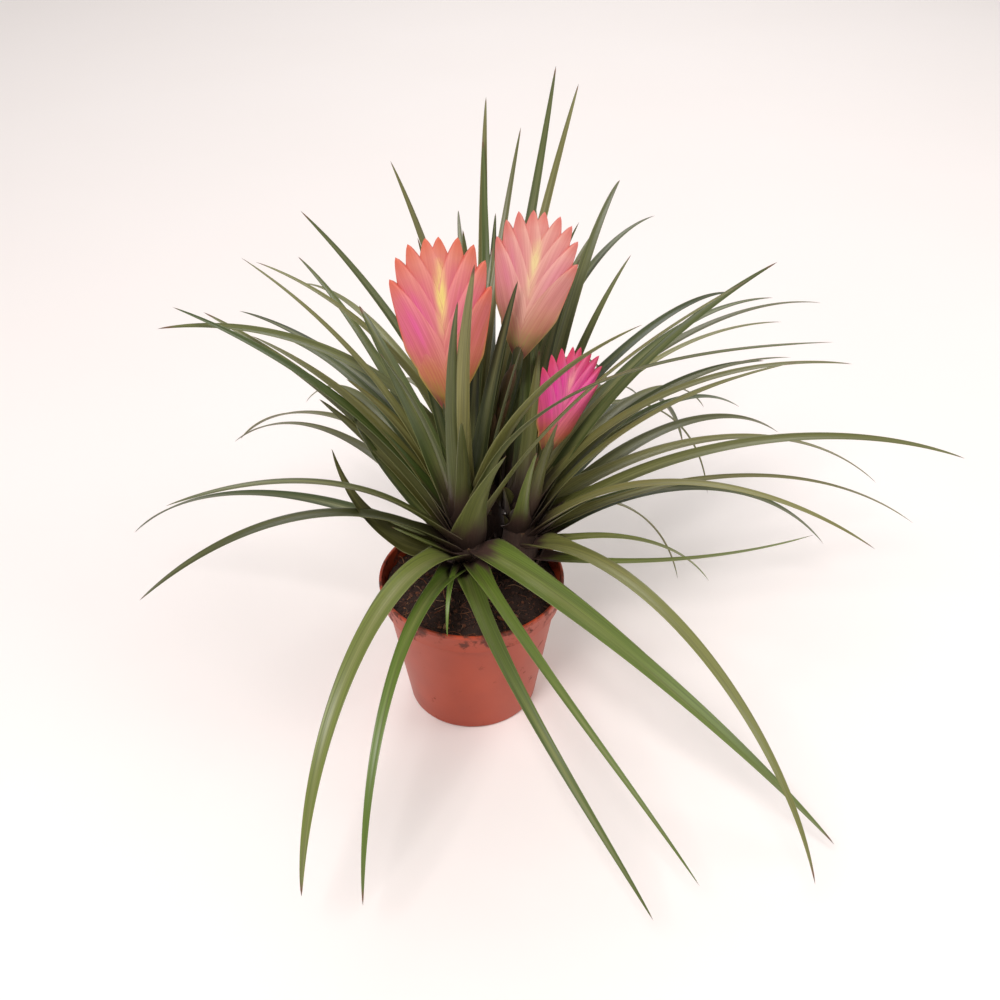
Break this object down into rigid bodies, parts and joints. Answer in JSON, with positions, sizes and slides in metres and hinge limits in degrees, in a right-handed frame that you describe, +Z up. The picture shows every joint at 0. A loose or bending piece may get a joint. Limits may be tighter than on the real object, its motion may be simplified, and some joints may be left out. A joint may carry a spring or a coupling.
{
  "type": "potted pink quill plant",
  "caption": "Pink quill plant in a round nursery pot: arching channelled leaves in rosettes, and flat paddles of overlapping pink bracts on short stems.",
  "frame": {"origin": "middle of the pot's flat underside", "axes": "+Z up the pot's axis, -Y towards the plant's front, +X to its right"},
  "size_m": [0.6231, 0.5565, 0.3828],
  "materials": {
    "pot": "terracotta-coloured moulded plastic, satin",
    "soil": "dark peat with bark bits, rough",
    "leaf": "dark green leaf, satin",
    "stem": "green-brown flower stem",
    "bract_coral": "coral pink bract, satin",
    "bract_magenta": "magenta pink bract, satin",
    "bract_salmon": "pale salmon bract, satin"
  },
  "bodies": {
    "root": {"pot": "pot", "soil": "soil", "rosette_front": "leaf", "rosette_right": "leaf", "rosette_back": "leaf", "scape_front": "stem", "scape_right": "stem", "scape_back": "stem", "quill_front": "bract_coral", "quill_right": "bract_magenta", "quill_back": "bract_salmon"}
  },
  "joints": []
}
